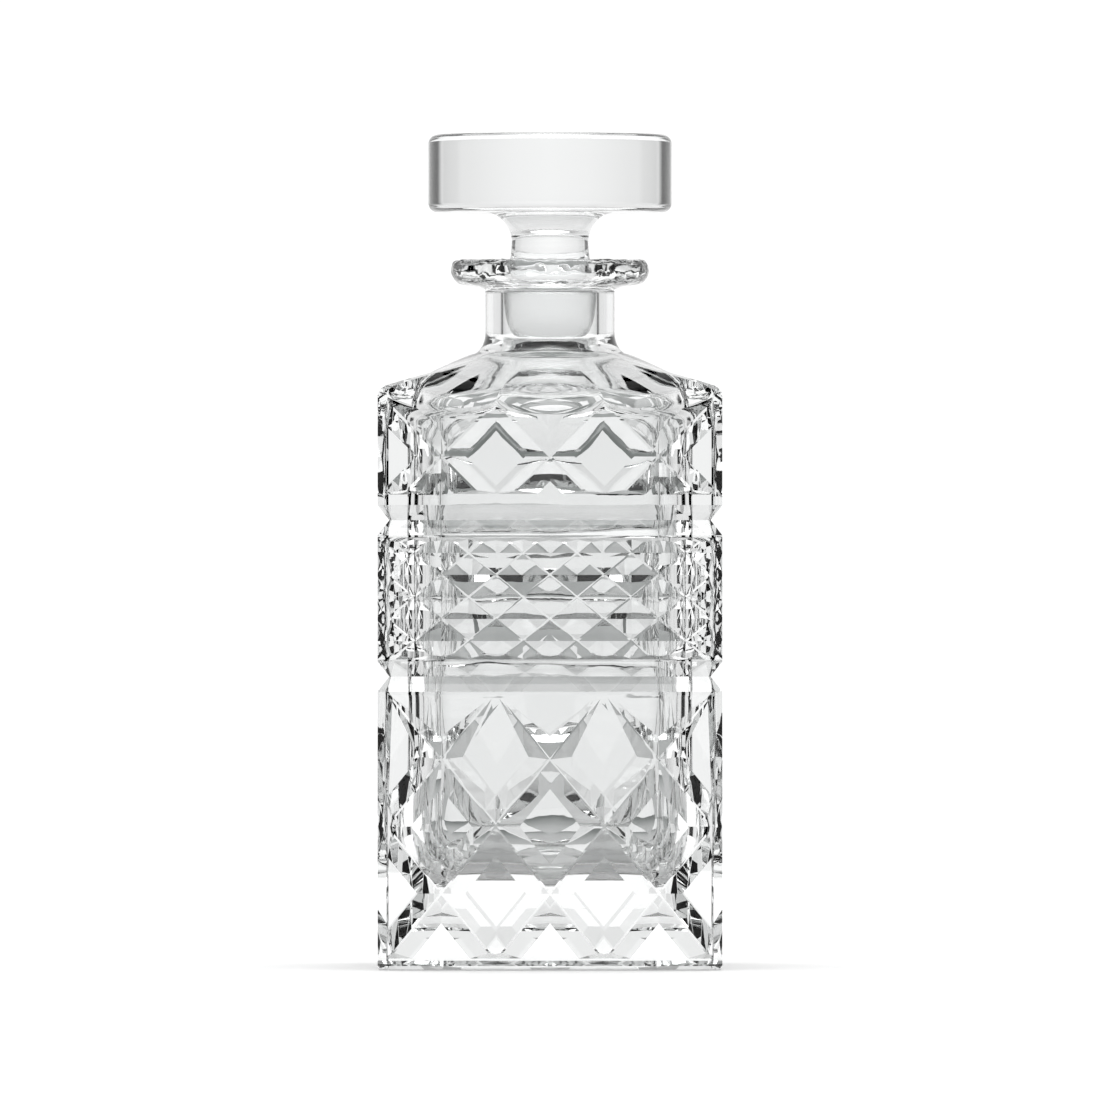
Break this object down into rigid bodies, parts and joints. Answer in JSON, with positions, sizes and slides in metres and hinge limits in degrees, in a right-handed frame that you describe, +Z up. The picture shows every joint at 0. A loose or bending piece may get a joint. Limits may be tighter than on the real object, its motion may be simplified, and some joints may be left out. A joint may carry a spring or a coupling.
{
  "type": "decanter",
  "caption": "Square cut-glass decanter with diamond-cut bands, a fluted shoulder, a disc lip and a solid disc-headed stopper that lifts out.",
  "frame": {"origin": "centre of the base's underside", "axes": "+Z up along the neck, front face towards -Y"},
  "size_m": [0.097, 0.097, 0.2359],
  "materials": {
    "bottle": "clear polished crystal, ground inside the neck",
    "stopper": "clear polished crystal, ground on the plug"
  },
  "bodies": {
    "bottle": {"bottle": "bottle"},
    "stopper": {"stopper": "stopper"}
  },
  "joints": [
    {"name": "stopper_lift", "type": "slide", "parent": "bottle", "child": "stopper", "axis": [0, 0, 1], "range_m": [0, 0.06]}
  ]
}
